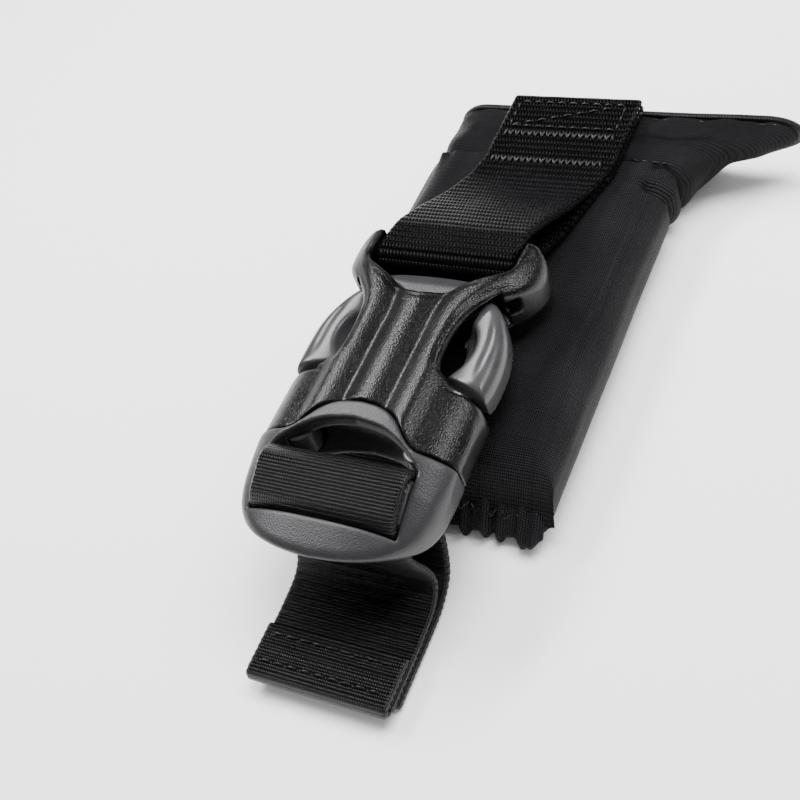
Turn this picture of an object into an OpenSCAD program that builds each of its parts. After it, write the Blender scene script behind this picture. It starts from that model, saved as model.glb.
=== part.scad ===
// Padded belt end with a side-release buckle.
// The belt lies on its back panel: +Z is up, +X runs across the belt, and the buckle's plug points to -Y.
// The origin is on the back panel, straight below the bar that holds the buckle to the belt.

/* [Webbing] */
// Width of both straps
web_w = 25; // [24:0.5:25.4]
// Thickness of the anchor webbing and of the adjuster strap
web_t = 1.4; // [1.2:0.1:1.5]
// Distance in front of the bar at which the adjuster strap ends
strap_reach = 71; // [66:1:90]

/* [Buckle] */
// Height of the buckle's crown above the back panel
crown_z = 26; // [25:0.5:27]
// Thickness of the buckle from crown to underside
buckle_h = 11; // [10.5:0.5:11.5]
// Half width of the receiver at its mouth
mouth_hw = 17.4; // [17:0.1:18]
// Half width of the latch buttons at their widest
button_hw = 17.4; // [17:0.1:18]
// Thickness of the receiver's top and bottom walls
shell_t = 2.1; // [1.8:0.1:2.3]
// Radius of the bar that carries the anchor webbing
bar_r = 1.8; // [1.5:0.1:1.9]
// Gap between plug and receiver
fit_gap = 0.3; // [0.25:0.05:0.35]

/* [Pad] */
// Left edge of the padded sleeve
pad_left = -21; // [-24:0.5:-19]
// Right edge of the padded sleeve
pad_right = 27.5; // [25:0.5:30]
// Thickness of the padded sleeve
pad_h = 13.2; // [11:0.2:13.4]
// Right edge of the wing, where the belt widens
wing_right = 46.5; // [40:0.5:52]
// Distance behind the bar at which the wing ends
wing_back = 48; // [46:0.5:56]
// Thickness of the cover fabric with its lining
cover_t = 0.9; // [0.6:0.1:1.2]

/* [Hidden] */
$fn = 48;

bottom_z = crown_z - buckle_h;
bar_z = crown_z - 5;
roof_z = crown_z - shell_t;
floor_z = bottom_z + shell_t;
// The mouth's arch, from its foot to its crown, as distances in front of the bar
mouth_y = -39.2;
arch_y = -33;
arch_hw = 10.8;
lip_y = -58.6;
// Front and back edges of the side windows
window_front = -27.6;
window_back = -8.6;
channel_hw = 9.4;
bar_hw = 14;
// Grip bar: two round edges joined by a web, as [y, z]
grip_r = 2;
grip_front = [-49, crown_z - 5.4];
grip_back = [-45.4, crown_z - 3.9];
slot_hw = web_w / 2 + 0.3;
latch_pivot = [11, -37.5];
root_r = 3;
arm_z = floor_z + 0.6;
arm_h = 4.7;
hollow_hw = 15.3;
plug_back = arch_y - fit_gap;
sleeve_front = -38.5;
sleeve_back = 34;
eps = 0.02;

// ---- curves ----

// Point at fraction t between b and c on a smooth curve through a, b, c and d
function smooth(a, b, c, d, t) =
    0.5 * (2 * b + (c - a) * t + (2 * a - 5 * b + 4 * c - d) * t * t + (3 * b - 3 * c + d - a) * t * t * t);

// The points of a smooth curve through p, with n steps between two of them
function curve(p, n) = [
    for (i = [0 : len(p) - 2])
        for (k = [0 : n - 1])
            smooth(p[max(i - 1, 0)], p[i], p[i + 1], p[min(i + 2, len(p) - 1)], k / n),
    p[len(p) - 1]
];

// Points on an arc around c, as [y, z], from angle a to angle b
function arc(c, r, a, b, n) = [
    for (i = [0 : n]) c + r * [cos(a + (b - a) * i / n), sin(a + (b - a) * i / n)]
];

function mirrored(p) = [for (i = [len(p) - 1 : -1 : 0]) [-p[i][0], p[i][1]]];

// Half of an outline, given from the centre line round the right side, closed by its mirror image
module both_sides(half) {
    polygon(concat(half, mirrored(half)));
}

// An outline drawn in [y, z], pushed through the part along X from x0 to x1
module along_x(x0, x1) {
    translate([x0, 0, 0])
        rotate([90, 0, 90])
            linear_extrude(x1 - x0)
                children();
}

// An outline drawn in [x, z], pushed along Y from y0 to y1
module along_y(y0, y1) {
    translate([0, y1, 0])
        rotate([90, 0, 0])
            linear_extrude(y1 - y0)
                children();
}

// A flat band of width w and thickness t that follows path, a list of [x, y, z] of its middle
module band(path, w, t) {
    last = len(path) - 1;
    dirs = [for (i = [0 : last]) path[min(i + 1, last)] - path[max(i - 1, 0)]];
    ups = [for (d = dirs) [0, -d[2], d[1]] / norm([d[1], d[2]])];
    rings = [
        for (i = [0 : last])
            for (c = [[-1, -1], [1, -1], [1, 1], [-1, 1]])
                path[i] + [c[0] * w / 2, 0, 0] + ups[i] * c[1] * t / 2
    ];
    sides = [
        for (i = [0 : last - 1])
            for (k = [0 : 3])
                let (a = 4 * i + k, b = 4 * i + (k + 1) % 4)
                    each [[a, b, b + 4], [a, b + 4, a + 4]]
    ];
    end = 4 * last;
    ends = [[0, 2, 1], [0, 3, 2], [end, end + 1, end + 2], [end, end + 2, end + 3]];
    polyhedron(rings, [for (f = concat(sides, ends)) [f[2], f[1], f[0]]]);
}

// ---- receiver ----

function receiver_half() = concat(
    [[0, arch_y], [4.5, arch_y - 0.7], [6.7, arch_y - 2.2], [9.6, arch_y - 5.4], [arch_hw + 0.6, mouth_y]],
    [[mouth_hw, mouth_y], [mouth_hw, -30], [17, -28.4], [14.6, -26.8], [9.4, -24.2]],
    curve([[8.6, -22], [8.9, -17], [10.2, -12.5], [13, -8.6], [16.4, -5.4],
        [17.5, -2.5], [17.2, 0.6], [15.4, 3.3]], 3),
    [[13.2, 3.6], [13.2, -2.2], [12.2, -3.8], [9.1, -5.9], [6.3, -7.5], [3.5, -9.6], [0, -10.6]]
);

// Cross-section of the whole buckle in [x, z]: a soft crown, a wide waistline and a narrower underside
function section_half(hw) = [
    [0, crown_z], [8, crown_z - 0.4], [12, crown_z - 1.2], [14.6, crown_z - 2.6],
    [hw - 0.6, crown_z - 5], [hw, crown_z - 7], [hw, bottom_z + 2.2], [hw - 1.6, bottom_z], [0, bottom_z]
];

module receiver_body() {
    intersection() {
        translate([0, 0, bottom_z])
            linear_extrude(buckle_h)
                both_sides(receiver_half());
        along_y(mouth_y - 1, 5)
            both_sides(section_half(mouth_hw));
    }
}

// Cross-section of the mouth's hollow in [x, z], pulled in by gap for the part of the plug that enters it
function hollow_half(gap) = [
    [0, roof_z - gap], [11.5 - gap / 2, roof_z - gap], [hollow_hw - gap, crown_z - 5.6 - gap / 2],
    [hollow_hw - gap, floor_z + 1.6], [hollow_hw - 1.4 - gap / 2, floor_z + gap], [0, floor_z + gap]
];

// The hollow that takes the plug: wide at the mouth, open at both windows, narrow round the guide tongue
module receiver_hollow() {
    cavity_h = roof_z - floor_z;
    along_y(mouth_y - 1, -23)
        both_sides(hollow_half(0));
    translate([-mouth_hw - 1, window_front, floor_z])
        cube([2 * mouth_hw + 2, window_back - window_front, cavity_h]);
    translate([-channel_hw, -14, floor_z])
        cube([2 * channel_hw, 12, cavity_h]);
}

module receiver_shell() {
    color([0.07, 0.07, 0.07])
        difference() {
            union() {
                difference() {
                    receiver_body();
                    receiver_hollow();
                }
                translate([-bar_hw, 0, bar_z])
                    rotate([0, 90, 0])
                        cylinder(r = bar_r, h = 2 * bar_hw);
            }
            // room for the ends of the latch arms beside the narrow channel
            for (s = [-1, 1])
                translate([s * channel_hw, window_back - 2, floor_z])
                    cylinder(r = 4.4, h = roof_z - floor_z);
        }
}

// ---- plug ----

function plug_half() = concat(
    curve([[0, lip_y], [5, lip_y + 0.5], [9.5, lip_y + 1.8], [13, lip_y + 4], [15.6, lip_y + 7],
        [17, lip_y + 11], [mouth_hw, lip_y + 15], [mouth_hw, mouth_y - fit_gap]], 3),
    [[arch_hw + 0.4, mouth_y - fit_gap], [9.3, arch_y - 5.7], [6.5, arch_y - 2.5], [4.4, arch_y - 1],
        [0, plug_back]]
);

// Side view of the plug in [y, z]: the top falls towards the lip, and the lip's underside rises
module plug_profile() {
    polygon([
        [arch_y, crown_z], [mouth_y - 2, crown_z - 0.2], [-46, crown_z - 1], [-52.5, crown_z - 3.1],
        [lip_y + 0.4, crown_z - 4.4], [lip_y, crown_z - 5.6], [lip_y + 1.5, crown_z - 8],
        [-52, crown_z - 9.6], [-47, bottom_z + 0.4], [arch_y, bottom_z + 0.4]
    ]);
}

stem_hw = 7.6;

module plug_frame() {
    color([0.42, 0.42, 0.42])
        difference() {
            union() {
                intersection() {
                    translate([0, 0, bottom_z])
                        linear_extrude(buckle_h)
                            both_sides(plug_half());
                    along_x(-20, 20)
                        plug_profile();
                    along_y(lip_y - 1, arch_y)
                        both_sides(section_half(mouth_hw));
                }
                // base block that enters the mouth and carries the arms and the tongue
                along_y(mouth_y - 3, mouth_y + 1.6)
                    both_sides(hollow_half(fit_gap));
                translate([-stem_hw, mouth_y - 3, floor_z + fit_gap])
                    cube([2 * stem_hw, plug_back - mouth_y + 3, roof_z - floor_z - 2 * fit_gap]);
            }
            // the opening that both slots and the grip bar share, arched at the back
            translate([0, 0, bottom_z - 1])
                linear_extrude(buckle_h + 2)
                    both_sides([[0, -52.7], [slot_hw, -52.7], [slot_hw, -42.2], [9.4, -39.4], [5.2, -37],
                        [0, -36.4]]);
            // seats for the roots of the two latch arms
            for (s = [-1, 1])
                translate([s * latch_pivot[0], latch_pivot[1], arm_z - 0.2])
                    cylinder(r = root_r + 0.1, h = arm_h + 0.4);
        }
}

module grip_bar() {
    span = grip_back - grip_front;
    color([0.36, 0.36, 0.36])
        along_x(-slot_hw, slot_hw) {
            translate(grip_front)
                circle(grip_r);
            translate(grip_back)
                circle(grip_r);
            translate(grip_front)
                rotate(atan2(span[1], span[0]))
                    translate([0, -grip_r])
                        square([norm(span), 2 * grip_r]);
        }
}

module guide_tongue() {
    color([0.42, 0.42, 0.42])
        translate([0, 0, floor_z + 1.6])
            linear_extrude(roof_z - floor_z - 2.4)
                both_sides([
                    [0, plug_back], [4.6, plug_back], [4.2, -10], [4.6, -7.8],
                    [8.4, -6.7], [8.7, -5.6], [7.6, -4.7], [0, -4.4]
                ]);
}

// One latch arm, for the right side: a springy arm, a slanted catch and a round button
module latch_arm() {
    inner_x = latch_pivot[0] - 1.7;
    outer_x = latch_pivot[0] + 1.7;
    outline = concat(
        [[inner_x, latch_pivot[1]], [outer_x, latch_pivot[1]], [outer_x, -26.1], [14.6, -25.3],
            [button_hw - 0.4, -26.9]],
        curve([[button_hw, -25], [button_hw, -20], [button_hw - 0.9, -15.8], [button_hw - 2.9, -12.2],
            [12.6, -9.4], [11, -8.9], [9.9, -9.8]], 3),
        [[inner_x, -14]]
    );
    translate([0, 0, arm_z])
        linear_extrude(arm_h)
            polygon(outline);
    // round root, bevelled to pass under the mouth's slanted roof
    intersection() {
        translate([latch_pivot[0], latch_pivot[1], arm_z])
            cylinder(r = root_r, h = arm_h);
        along_y(latch_pivot[1] - root_r, latch_pivot[1] + root_r)
            both_sides(hollow_half(2 * fit_gap));
    }
}

module latch_arm_right() {
    color([0.52, 0.52, 0.52])
        latch_arm();
}

module latch_arm_left() {
    color([0.52, 0.52, 0.52])
        mirror([1, 0, 0])
            latch_arm();
}

// ---- adjuster strap ----

// Middle of the strap round the grip bar, as [y, z], from the back slot over the bar to the front slot
wrap_r = grip_r + 0.1 + web_t / 2;
wrap = concat(arc(grip_back, wrap_r, 0, 112, 6), arc(grip_front, wrap_r, 112, 180, 5));
load_leg = [[-strap_reach + 1.5, 0.75], [-64, 0.75], [-58, 0.75], [-52.5, 1.1], [-47.6, 3], [-44.8, 7],
    [-43.4, 11], [-42.7, 15.5]];
free_leg = [[-52, 17], [-51.6, 12.6], [-50.4, 8.4], [-50.6, 5.2], [-53.6, 3], [-58.6, 2.35], [-64, 2.3],
    [-strap_reach, 2.3]];
// Both legs drift to the right as they drop to the surface
function drift(p) = 1.8 * max(0, 1 - p[1] / 14);

module adjuster_strap() {
    path = concat(curve(load_leg, 4), wrap, curve(free_leg, 4));
    color([0.05, 0.05, 0.05])
        band([for (p = path) [drift(p), p[0], p[1]]], web_w, web_t);
}

// The strap's free end, folded back over itself and sewn down
fold_y = -strap_reach - eps;
fold_z = 2.3 + web_t / 2;
fold_w = 8;
fold_left = drift([0, fold_z]) - web_w / 2;

module strap_end_fold() {
    color([0.05, 0.05, 0.05])
        along_x(fold_left, fold_left + web_w)
            translate([fold_y, fold_z]) {
                intersection() {
                    circle(web_t);
                    translate([-web_t, -web_t])
                        square([web_t, 2 * web_t]);
                }
                translate([-eps, 0.05])
                    square([fold_w, web_t]);
            }
}

module strap_fold_stitch() {
    stitch_r = 0.25;
    color([0.12, 0.12, 0.12])
        for (y = [1.6, fold_w - 1.8])
            translate([fold_left + 1.5, fold_y + y, fold_z + web_t + stitch_r + 0.05])
                rotate([0, 90, 0])
                    cylinder(r = stitch_r, h = web_w - 3);
}

// ---- anchor webbing ----

loop_r = bar_r + 0.1 + web_t / 2;
top_web_z = pad_h + 0.05 + web_t * 1.5 + 0.1;
low_web_z = pad_h + 0.05 + web_t / 2;
web_end = wing_back - 1.2;
low_run = [[web_end, low_web_z], [34, low_web_z], [26, low_web_z], [19, low_web_z + 0.05],
    [13, low_web_z + 0.6], [6, bar_z - loop_r - 1.2]];
top_run = [[6, bar_z + loop_r - 0.9], [12, bar_z + loop_r - 3.4], [18, top_web_z + 2], [24, top_web_z + 0.3],
    [28, top_web_z], [33, top_web_z], [web_end, top_web_z]];
// The webbing leaves the bar square and is sewn down a little to the right of it
function sway(y) = 5.5 * pow(max(0, min(1, (y - 3) / 27)), 1.4);

module anchor_webbing() {
    path = concat(curve(low_run, 4), arc([0, bar_z], loop_r, 270, 90, 12), curve(top_run, 4));
    color([0.05, 0.05, 0.05])
        band([for (p = path) [sway(p[0]), p[0], p[1]]], web_w, web_t);
}

tack_z = top_web_z + web_t / 2;

// Rows of dense stitching right across the webbing
module anchor_bartack() {
    tack_hw = 10.8;
    color([0.12, 0.12, 0.12])
        for (y = [29.6, 36.4])
            translate([sway(y) - tack_hw, y - 0.6, tack_z])
                cube([2 * tack_hw, 1.2, 0.5]);
}

module anchor_box_stitch() {
    thread = 0.45;
    box_w = 21;
    box_h = 6.4;
    color([0.12, 0.12, 0.12])
        translate([sway(36) - box_w / 2, 38.2, tack_z])
            difference() {
                cube([box_w, box_h, thread]);
                translate([thread, thread, -1])
                    cube([box_w - 2 * thread, box_h - 2 * thread, 3]);
            }
}

// ---- pad ----

// Rounded cross-section of the sleeve in [x, z], pulled in by inset on every side
module sleeve_section(inset) {
    r = pad_h / 2 - inset;
    translate([pad_left + pad_h / 2, pad_h / 2])
        circle(r);
    translate([pad_right - pad_h / 2, pad_h / 2])
        circle(r);
    translate([pad_left + pad_h / 2, inset])
        square([pad_right - pad_left - pad_h, 2 * r]);
}

// Side view of the sleeve in [y, z], thinning towards its stitched end
module sleeve_profile(inset) {
    polygon([
        [sleeve_front + inset, inset], [sleeve_front + inset, 4.6 - inset], [-35.5, 7.4 - inset],
        [-32, 10.8 - inset], [-27, 12.6 - inset], [-20, pad_h - inset], [sleeve_back - inset, pad_h - inset],
        [sleeve_back - inset, inset]
    ]);
}

module sleeve_form(inset) {
    intersection() {
        along_y(sleeve_front, sleeve_back)
            sleeve_section(inset);
        along_x(pad_left - 1, pad_right + 1)
            sleeve_profile(inset);
    }
}

// The lining panel that closes the back
panel_t = 0.8;
panel_left = pad_left + 5;
panel_w = pad_right - 5 - panel_left;

module sleeve_cover() {
    color([0.06, 0.06, 0.06])
        difference() {
            sleeve_form(0);
            sleeve_form(cover_t);
            translate([panel_left, sleeve_front - 1, -1])
                cube([panel_w, sleeve_back - sleeve_front + 2, 1 + panel_t]);
        }
}

module sleeve_foam() {
    color([0.25, 0.25, 0.25])
        sleeve_form(cover_t);
}

hem_front = -41.3;
hem_h = 4;

module sleeve_end_hem() {
    color([0.06, 0.06, 0.06])
        linear_extrude(hem_h)
            polygon([
                [pad_left + 3, sleeve_front], [pad_left + 4, hem_front + 1], [pad_left + 8, hem_front + 0.6],
                [14, hem_front + 0.4], [20, hem_front + 1], [pad_right - 2.9, hem_front],
                [pad_right - 2, hem_front + 1.4], [pad_right - 3, sleeve_front]
            ]);
}

module hem_stitch() {
    color([0.12, 0.12, 0.12])
        translate([panel_left, hem_front + 1.6, hem_h])
            cube([panel_w, 0.8, 0.5]);
}

wing_left = pad_left + 0.2;
wing_h = pad_h - 0.4;
// Height to which the wing's free edge lifts off the surface
lift_z = 6.4;

// The wing in plan: as wide as the sleeve where it starts, then flaring to the right
function wing_plan() = [
    [wing_left + 0.3, sleeve_back], [pad_right - 0.5, sleeve_back],
    [pad_right + 3.2, sleeve_back + 2], [pad_right + 4.7, sleeve_back + 4.9],
    [pad_right + 7, sleeve_back + 6.2], [pad_right + 11, sleeve_back + 7.4],
    [wing_right - 6, sleeve_back + 9], [wing_right, sleeve_back + 11.6],
    [wing_right, wing_back - 1], [wing_left, wing_back - 1]
];

// Cross-section of the wing in [x, z], pulled in by inset on every side
module wing_section(inset) {
    polygon([
        [wing_left + inset, inset], [pad_right - 1, inset],
        [pad_right + 7, lift_z + inset], [wing_right - inset, lift_z + inset],
        [wing_right - inset, wing_h - inset], [wing_left + inset, wing_h - inset]
    ]);
}

module wing_form(inset) {
    intersection() {
        linear_extrude(wing_h)
            translate([0, inset])
                polygon(wing_plan());
        along_y(sleeve_back + inset, wing_back - 1 - inset)
            wing_section(inset);
    }
}

module wing_cover() {
    color([0.06, 0.06, 0.06])
        difference() {
            wing_form(0);
            wing_form(cover_t);
            translate([panel_left, sleeve_back - 1, -1])
                cube([panel_w, wing_back - sleeve_back, 1 + panel_t]);
        }
}

module wing_foam() {
    color([0.25, 0.25, 0.25])
        wing_form(cover_t);
}

seam_thread = 0.5;

module joining_stitch() {
    seam_left = sway(sleeve_back) + web_w / 2 + 0.6;
    color([0.12, 0.12, 0.12])
        translate([seam_left, sleeve_back + 0.5, wing_h])
            cube([pad_right - 1 - seam_left, seam_thread, 0.4]);
}

module end_binding() {
    color([0.08, 0.08, 0.08])
        along_y(wing_back - 1, wing_back)
            wing_section(0);
}

module binding_stitch() {
    color([0.12, 0.12, 0.12])
        translate([sway(40) + web_w / 2 + 1, wing_back - 2.2, wing_h])
            cube([24, seam_thread, 0.4]);
}

module back_panel() {
    color([0.1, 0.1, 0.1])
        translate([panel_left, sleeve_front, 0])
            cube([panel_w, wing_back - 1 - sleeve_front, panel_t]);
}

receiver_shell();
plug_frame();
grip_bar();
guide_tongue();
latch_arm_left();
latch_arm_right();
adjuster_strap();
strap_end_fold();
strap_fold_stitch();
anchor_webbing();
anchor_bartack();
anchor_box_stitch();
sleeve_cover();
sleeve_foam();
sleeve_end_hem();
hem_stitch();
wing_cover();
wing_foam();
joining_stitch();
end_binding();
binding_stitch();
back_panel();
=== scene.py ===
import math

import bpy
import numpy as np
from mathutils import Matrix, Vector


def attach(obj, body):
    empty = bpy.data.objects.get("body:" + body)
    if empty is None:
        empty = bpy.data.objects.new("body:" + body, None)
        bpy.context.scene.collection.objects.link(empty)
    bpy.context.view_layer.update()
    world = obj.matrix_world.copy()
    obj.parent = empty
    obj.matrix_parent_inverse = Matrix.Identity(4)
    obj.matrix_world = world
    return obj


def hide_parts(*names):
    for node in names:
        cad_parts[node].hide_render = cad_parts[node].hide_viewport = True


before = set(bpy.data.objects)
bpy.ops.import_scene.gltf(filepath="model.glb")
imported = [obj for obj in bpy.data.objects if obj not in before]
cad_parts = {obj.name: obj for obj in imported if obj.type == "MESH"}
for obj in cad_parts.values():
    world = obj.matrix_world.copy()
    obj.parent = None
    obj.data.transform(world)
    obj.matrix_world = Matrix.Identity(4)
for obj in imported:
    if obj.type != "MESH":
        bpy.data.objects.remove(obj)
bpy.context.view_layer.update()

MM = 0.001

# --------------------------------------------------
# Camera
# A portrait-length lens held close over the buckle's right front corner and
# rolled a little, so the belt runs up the picture to the right.
# --------------------------------------------------
AZIMUTH, ELEVATION, ROLL = (math.radians(a) for a in (44.0, 48.0, 26.2))
LENS_MM = 58.5
DISTANCE_MM = 203.0
AIM = Vector((0.0, -22.0, 26.0))

level = math.cos(ELEVATION)
toward = Vector((math.sin(AZIMUTH) * level, -math.cos(AZIMUTH) * level, math.sin(ELEVATION)))
level_right = Vector((math.cos(AZIMUTH), math.sin(AZIMUTH), 0.0))
level_up = toward.cross(level_right)
right = math.cos(ROLL) * level_right - math.sin(ROLL) * level_up
up = math.sin(ROLL) * level_right + math.cos(ROLL) * level_up
place = AIM + DISTANCE_MM * toward + 1.5 * right - 8.9 * up

camera = bpy.data.objects.new("camera", bpy.data.cameras.new("camera"))
camera.data.lens = LENS_MM
camera.data.sensor_width = 36.0
camera.data.clip_start = 0.01
camera.matrix_world = Matrix.Translation(place * MM) @ Matrix((right, up, toward)).transposed().to_4x4()
bpy.context.scene.collection.objects.link(camera)
bpy.context.scene.camera = camera

# --------------------------------------------------
# Receiver shell
# One injection moulding in black acetal: mouth, two side windows, two arms
# and the webbing bar. The steel mould was sandblasted, so every outer face
# carries a fine even grain; the crown is fluted lengthways for grip.
# --------------------------------------------------
CROWN_Z = 26.0
BOTTOM_Z = 15.0
ROOF_Z = CROWN_Z - 2.1
FLOOR_Z = BOTTOM_Z + 2.1
BAR_Z = CROWN_Z - 5.0
BAR_R = 1.8
HALF_WIDTH = 17.4
MOUTH_Y = -39.2
ARCH_Y = -33.0
GRID_MM = 0.22


def smooth_curve(points, steps):
    """A smooth curve through points, with steps pieces between two of them."""
    p = [np.array(q, float) for q in points]
    out = []
    for i in range(len(p) - 1):
        a, b, c, d = p[max(i - 1, 0)], p[i], p[i + 1], p[min(i + 2, len(p) - 1)]
        for k in range(steps):
            t = k / steps
            bend, twist = 2 * a - 5 * b + 4 * c - d, 3 * b - 3 * c + d - a
            out.append(0.5 * (2 * b + (c - a) * t + bend * t**2 + twist * t**3))
    return out + [p[-1]]


def both_sides(half):
    """A closed outline from its right half, which starts and ends on the centre line."""
    return [tuple(q) for q in half] + [(-q[0], q[1]) for q in reversed(half) if abs(q[0]) > 1e-9]


def outline_distance(outline, x, y):
    """Distance from each point to a closed outline, below zero inside it."""
    nearest = np.full(x.shape, 1e9)
    inside = np.zeros(x.shape, bool)
    for (ax, ay), (bx, by) in zip(outline, outline[1:] + outline[:1]):
        ex, ey = bx - ax, by - ay
        t = np.clip(((x - ax) * ex + (y - ay) * ey) / max(ex * ex + ey * ey, 1e-12), 0, 1)
        nearest = np.minimum(nearest, (x - ax - t * ex) ** 2 + (y - ay - t * ey) ** 2)
        if ey:
            inside ^= ((ay > y) != (by > y)) & (x < ax + (y - ay) * ex / ey)
    return np.where(inside, -1.0, 1.0) * np.sqrt(nearest)


def both(a, b, blend=0.01):
    """What two solids share, with a fillet of about blend along the edge between them."""
    gap = np.maximum(blend - np.abs(a - b), 0) / blend
    return np.maximum(a, b) + gap * gap * blend / 4


def either(a, b, blend=0.01):
    """Two solids joined, with a fillet in the corner between them."""
    return -both(-a, -b, blend)


def step_up(value, start, end):
    """A smooth step from 0 at start to 1 at end."""
    t = np.clip((value - start) / (end - start), 0, 1)
    return t * t * (3 - 2 * t)


def rod(a, b, p, q, radius):
    """A round rod through (p, q) in the plane of coordinates a and b."""
    return np.hypot(a - p, b - q) - radius


def moulding(name, field, low, high, grid=GRID_MM):
    """A mesh of the solid where field(x, y, z) is below zero, all in millimetres."""
    axes = [np.arange(lo, hi + grid, grid) for lo, hi in zip(low, high)]
    value = field(*np.meshgrid(*axes, indexing="ij", sparse=False)).astype(np.float32)
    inside = value < 0
    corner = [(i, j, k) for i in (0, 1) for j in (0, 1) for k in (0, 1)]
    nx, ny, nz = (n - 1 for n in value.shape)

    def at(grid_values, c):
        return grid_values[c[0]:c[0] + nx, c[1]:c[1] + ny, c[2]:c[2] + nz]

    filled = sum(at(inside, c).astype(np.int8) for c in corner)
    cells = np.argwhere((filled > 0) & (filled < 8))
    number = np.full((nx, ny, nz), -1, np.int64)
    number[tuple(cells.T)] = np.arange(len(cells))
    total = np.zeros((len(cells), 3))
    count = np.zeros(len(cells))
    for c in corner:
        for axis in range(3):
            if c[axis]:
                continue
            d = list(c)
            d[axis] = 1
            start, stop = cells + c, cells + d
            va, vb = value[tuple(start.T)], value[tuple(stop.T)]
            cut = (va < 0) != (vb < 0)
            t = np.where(cut, va / np.where(cut, va - vb, 1), 0)
            point = start.astype(float)
            point[:, axis] += t
            total += np.where(cut[:, None], point, 0)
            count += cut
    points = (total / count[:, None] * grid + np.array(low)) * MM
    faces = []
    for axis in range(3):
        u, v = (axis + 1) % 3, (axis + 2) % 3
        a = np.take(inside, range(inside.shape[axis] - 1), axis)
        b = np.take(inside, range(1, inside.shape[axis]), axis)
        edges = np.argwhere(a != b)
        eu, ev = edges[:, u], edges[:, v]
        edges = edges[(eu > 0) & (ev > 0) & (eu < number.shape[u]) & (ev < number.shape[v])]
        ring = []
        for du, dv in ((1, 1), (0, 1), (0, 0), (1, 0)):
            cell = edges.copy()
            cell[:, u] -= du
            cell[:, v] -= dv
            ring.append(number[tuple(cell.T)])
        quad = np.stack(ring, 1)
        leaving = a[tuple(edges.T)]
        faces.append(np.where(leaving[:, None], quad, quad[:, ::-1]))
    faces = np.concatenate(faces)
    faces = faces[(faces >= 0).all(1)]
    mesh = bpy.data.meshes.new(name)
    mesh.from_pydata(points.tolist(), [], faces.tolist())
    mesh.shade_smooth()
    piece = bpy.data.objects.new(name, mesh)
    bpy.context.scene.collection.objects.link(piece)
    return piece


def crown_drop(x, fullness=2.6):
    """How far the buckle's top falls from its crown towards its rounded sides."""
    reach = np.clip(np.abs(x) / 17.9, 0, 0.999)
    return 7.0 * (1 - np.sqrt(1 - reach**fullness))


# outline of the right half, as [x, y]: the waist beside the window and out
# along the arm, the notch between the arms, and the seam with the plug
WAIST = [
    (9.5, -24.6), (8.8, -22.4), (8.8, -17.5), (9.9, -13), (12.3, -9.6),
    (15.6, -6.6), (17.3, -3.8), (17.6, -1), (16.8, 1.6), (15.2, 3.3),
]
NOTCH = [(13.3, 3.4), (13.1, 0), (13.1, -2.6), (12, -4.3), (9.1, -6.1), (6.4, -7.7), (3.6, -9.7), (0, -10.6)]
SEAM = [
    (0, ARCH_Y), (2.6, ARCH_Y - 0.25), (4.8, ARCH_Y - 0.95), (6.7, ARCH_Y - 2.2),
    (8.3, ARCH_Y - 3.9), (9.8, ARCH_Y - 5.4), (11.4, MOUTH_Y - 0.05), (13.2, MOUTH_Y - 0.1),
]
receiver_half = (
    smooth_curve(SEAM, 4) + [(HALF_WIDTH, MOUTH_Y)]
    + smooth_curve([(HALF_WIDTH, -30.5), (17.2, -28.6), (14.6, -27), (11.4, -25.5)], 4)
    + smooth_curve(WAIST, 5) + smooth_curve(NOTCH, 4)
)
receiver_outline = both_sides(receiver_half)
FLUTE_MM = 1.05
FLUTE_PITCH = 7.5
MOUTH_HALF = 15.3
MOUTH_SLANT = 10.5


def flutes(x, y):
    """Three rounded ribs along the crown, narrow valleys between; the outer two follow the arms outwards."""
    spread = 1 + 0.85 * step_up(y, -15, 1)
    across = x / spread
    rib = np.sqrt(np.cos(np.pi * across / FLUTE_PITCH) ** 2 + 0.016) - 0.07
    fade = 1 - step_up(np.abs(across), FLUTE_PITCH, 12)
    return FLUTE_MM * rib * fade


def plan_distance(outline, x, y, z):
    """Distance to an upright wall on an outline, at every point of a grid."""
    return outline_distance(outline, x[:, :, 0], y[:, :, 0])[:, :, None] + 0 * z


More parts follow.
